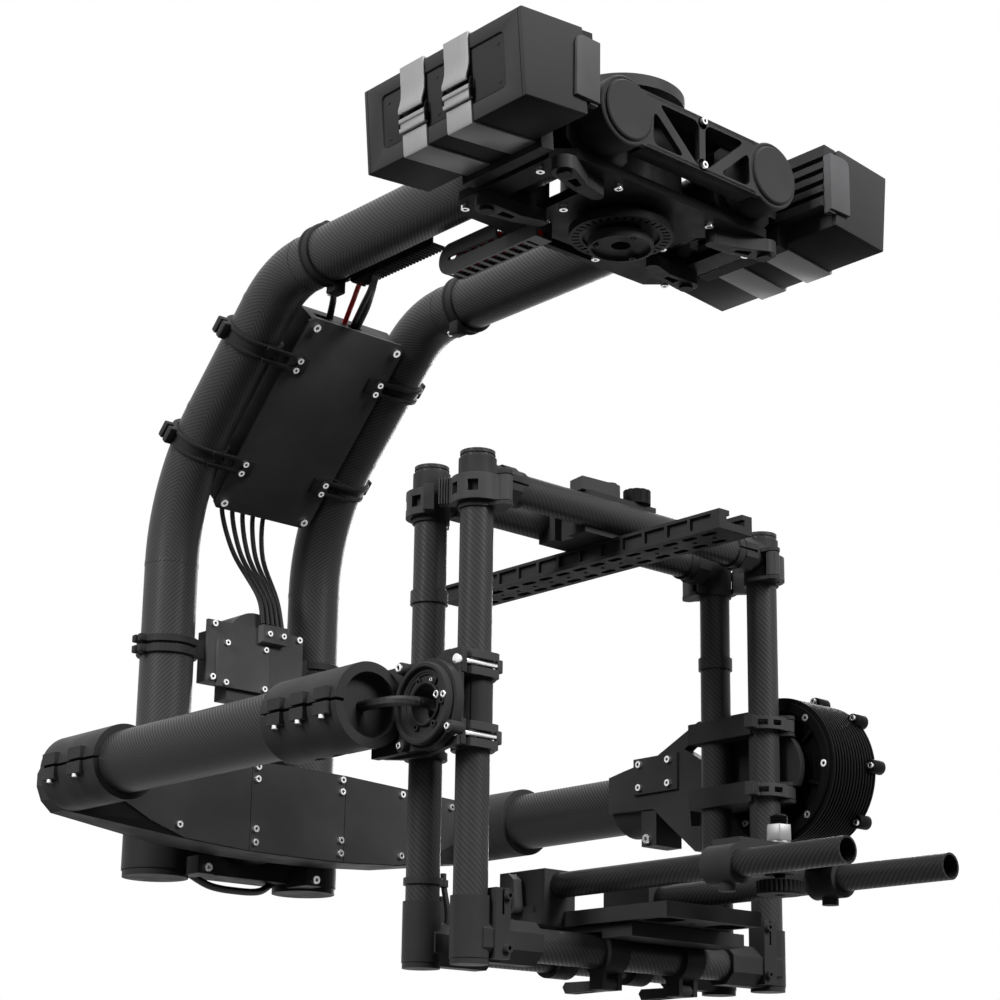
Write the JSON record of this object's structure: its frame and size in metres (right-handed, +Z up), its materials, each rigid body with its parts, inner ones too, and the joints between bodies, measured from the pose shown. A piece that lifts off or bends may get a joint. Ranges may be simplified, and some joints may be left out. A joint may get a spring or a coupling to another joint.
{
  "type": "motorized gimbal stabilizer",
  "caption": "Three axis motorized camera stabilizer: a tube yoke hangs from a pan head and carries a roll stage, a tilting camera cage, battery trays, a top rail and lens rods.",
  "frame": {"origin": "centre of the top mounting face, on the pan axis", "axes": "+Z up along the pan axis, -Y the way the lens points, +X towards the tilt motor"},
  "size_m": [0.5196, 0.8135, 0.7325],
  "materials": {
    "carbon_tube": "woven carbon tube in satin resin",
    "black_alloy": "black anodised, bead blasted",
    "dark_alloy": "dark grey anodised",
    "lever_alloy": "grey anodised",
    "pale_alloy": "clear anodised",
    "motor_black": "satin black",
    "battery_case": "fine grained black",
    "strap_metal": "brushed",
    "screw_steel": "bright",
    "black_plastic": "moulded black",
    "cable_sheath": "black sheath"
  },
  "bodies": {
    "mount": {"mount_disc": "black_alloy", "pan_shaft": "black_alloy", "shaft_end_ring": "black_alloy"},
    "pan_head": {"pan_motor_housing": "black_alloy", "head_plates": "black_alloy", "pan_tube_clamps": "black_alloy", "index_ring": "black_alloy", "battery_trays": "black_alloy", "batteries": "battery_case", "battery_straps": "strap_metal", "drag_chain": "black_plastic", "head_screws": "screw_steel"},
    "pan_lever_1": {"pan_lever_near_front": "lever_alloy"},
    "pan_lever_2": {"pan_lever_near_rear": "lever_alloy"},
    "pan_lever_3": {"pan_lever_far_front": "lever_alloy"},
    "pan_lever_4": {"pan_lever_far_rear": "lever_alloy"},
    "yoke": {"near_yoke_tube": "carbon_tube", "far_yoke_tube": "carbon_tube", "front_truss": "black_alloy", "band_clamps": "dark_alloy", "controller_box": "dark_alloy", "controller_cover": "dark_alloy", "connector_box": "dark_alloy", "yoke_cables": "cable_sheath", "foot_bracket": "black_alloy", "roll_motor": "motor_black", "yoke_screws": "screw_steel"},
    "roll_stage": {"roll_box": "black_alloy", "roll_covers": "dark_alloy", "near_arm_tube": "carbon_tube", "far_arm_tube": "carbon_tube", "near_arm_fitting": "black_alloy", "far_arm_fitting": "black_alloy", "tilt_motor": "motor_black", "roll_shaft": "black_alloy", "hub_cable": "cable_sheath", "roll_screws": "screw_steel"},
    "tilt_stage": {"near_stage": "black_alloy", "far_stage": "black_alloy"},
    "near_stage_clamp": {"near_stage_levers": "lever_alloy"},
    "far_stage_clamp": {"far_stage_levers": "lever_alloy"},
    "cage": {"cage_tubes": "carbon_tube", "cage_crossbars": "carbon_tube", "top_corner_clamps": "black_alloy", "bottom_corner_blocks": "black_alloy"},
    "cage_clamp_1": {"cage_lever_near_front": "lever_alloy"},
    "cage_clamp_2": {"cage_lever_near_rear": "lever_alloy"},
    "cage_clamp_3": {"cage_lever_far_front": "lever_alloy"},
    "cage_clamp_4": {"cage_lever_far_rear": "lever_alloy"},
    "carriage": {"rail_carriage": "black_alloy"},
    "carriage_lever": {"rail_lever": "pale_alloy"},
    "carriage_knob": {"rail_knob": "black_plastic"},
    "rail": {"top_rail": "black_alloy"},
    "cross_slide_body": {"cross_slide": "black_alloy"},
    "cross_clamps": {"cross_levers": "lever_alloy"},
    "plate": {"camera_plate": "black_alloy"},
    "plate_lever": {"rod_lever": "lever_alloy"},
    "rods": {"lens_rods": "carbon_tube"},
    "lens_bridge": {"lens_support": "black_alloy"},
    "lens_screw": {"thumb_screw": "pale_alloy"}
  },
  "joints": [
    {"name": "pan", "type": "hinge", "parent": "mount", "child": "pan_head", "pos_m": [0, 0, -0.06], "axis": [0, 0, 1], "continuous": true},
    {"name": "pan_lever_1_hinge", "type": "hinge", "parent": "pan_head", "child": "pan_lever_1", "pos_m": [-0.1145, -0.054, -0.114], "axis": [0, 0, 1], "range_deg": [-100, 0]},
    {"name": "pan_lever_2_hinge", "type": "hinge", "parent": "pan_head", "child": "pan_lever_2", "pos_m": [-0.1145, 0.036, -0.114], "axis": [0, 0, 1], "range_deg": [-100, 0]},
    {"name": "pan_lever_3_hinge", "type": "hinge", "parent": "pan_head", "child": "pan_lever_3", "pos_m": [0.1145, -0.054, -0.114], "axis": [0, 0, 1], "range_deg": [0, 100]},
    {"name": "pan_lever_4_hinge", "type": "hinge", "parent": "pan_head", "child": "pan_lever_4", "pos_m": [0.1145, 0.036, -0.114], "axis": [0, 0, 1], "range_deg": [0, 100]},
    {"name": "pan_balance", "type": "slide", "parent": "pan_head", "child": "yoke", "axis": [0, -1, 0], "range_m": [0, 0.08]},
    {"name": "roll", "type": "hinge", "parent": "yoke", "child": "roll_stage", "pos_m": [0, 0.44, -0.54], "axis": [0, 1, 0], "range_deg": [-45, 45]},
    {"name": "tilt", "type": "hinge", "parent": "roll_stage", "child": "tilt_stage", "pos_m": [0, 0, -0.54], "axis": [1, 0, 0], "range_deg": [-90, 90]},
    {"name": "near_stage_hinge", "type": "hinge", "parent": "tilt_stage", "child": "near_stage_clamp", "pos_m": [-0.172, -0.02, -0.535], "axis": [0, 0, 1], "range_deg": [-100, 0]},
    {"name": "far_stage_hinge", "type": "hinge", "parent": "tilt_stage", "child": "far_stage_clamp", "pos_m": [0.172, -0.02, -0.535], "axis": [0, 0, 1], "range_deg": [0, 70]},
    {"name": "cage_height", "type": "slide", "parent": "tilt_stage", "child": "cage", "axis": [0, 0, 1], "range_m": [-0.04, 0.08]},
    {"name": "cage_clamp_1_hinge", "type": "hinge", "parent": "cage", "child": "cage_clamp_1", "pos_m": [-0.148, -0.0284, -0.375], "axis": [0, 0, 1], "range_deg": [0, 100]},
    {"name": "cage_clamp_2_hinge", "type": "hinge", "parent": "cage", "child": "cage_clamp_2", "pos_m": [-0.148, 0.0664, -0.375], "axis": [0, 0, 1], "range_deg": [-100, 0]},
    {"name": "cage_clamp_3_hinge", "type": "hinge", "parent": "cage", "child": "cage_clamp_3", "pos_m": [0.148, -0.0284, -0.375], "axis": [0, 0, 1], "range_deg": [-100, 0]},
    {"name": "cage_clamp_4_hinge", "type": "hinge", "parent": "cage", "child": "cage_clamp_4", "pos_m": [0.148, 0.0664, -0.375], "axis": [0, 0, 1], "range_deg": [0, 100]},
    {"name": "carriage_slide", "type": "slide", "parent": "cage", "child": "carriage", "axis": [1, 0, 0], "range_m": [-0.03, 0.03]},
    {"name": "carriage_lever_hinge", "type": "hinge", "parent": "carriage", "child": "carriage_lever", "pos_m": [-0.014, -0.002, -0.344], "axis": [0, 0, 1], "range_deg": [0, 90]},
    {"name": "carriage_knob_turn", "type": "hinge", "parent": "carriage", "child": "carriage_knob", "pos_m": [0.013, -0.005, -0.342], "axis": [0, 0, 1], "range_deg": [-180, 180]},
    {"name": "rail_slide", "type": "slide", "parent": "carriage", "child": "rail", "axis": [0, 1, 0], "range_m": [-0.06, 0.06]},
    {"name": "cross_balance", "type": "slide", "parent": "cage", "child": "cross_slide_body", "axis": [1, 0, 0], "range_m": [-0.02, 0.02]},
    {"name": "cross_clamps_hinge", "type": "hinge", "parent": "cross_slide_body", "child": "cross_clamps", "pos_m": [0.0175, -0.0095, -0.7275], "axis": [1, 0, 0], "range_deg": [-80, 0]},
    {"name": "plate_slide", "type": "slide", "parent": "cross_slide_body", "child": "plate", "axis": [0, 1, 0], "range_m": [-0.04, 0.06]},
    {"name": "plate_lever_hinge", "type": "hinge", "parent": "plate", "child": "plate_lever", "pos_m": [-0.078, 0.034, -0.6716], "axis": [1, 0, 0], "range_deg": [0, 90]},
    {"name": "rod_slide", "type": "slide", "parent": "plate", "child": "rods", "axis": [0, 1, 0], "range_m": [-0.03, 0.03]},
    {"name": "lens_bridge_slide", "type": "slide", "parent": "rods", "child": "lens_bridge", "axis": [0, 1, 0], "range_m": [-0.08, 0.1]},
    {"name": "lens_screw_turn", "type": "hinge", "parent": "lens_bridge", "child": "lens_screw", "pos_m": [0, -0.159, -0.66], "axis": [0, 0, 1], "range_deg": [-180, 180]}
  ]
}
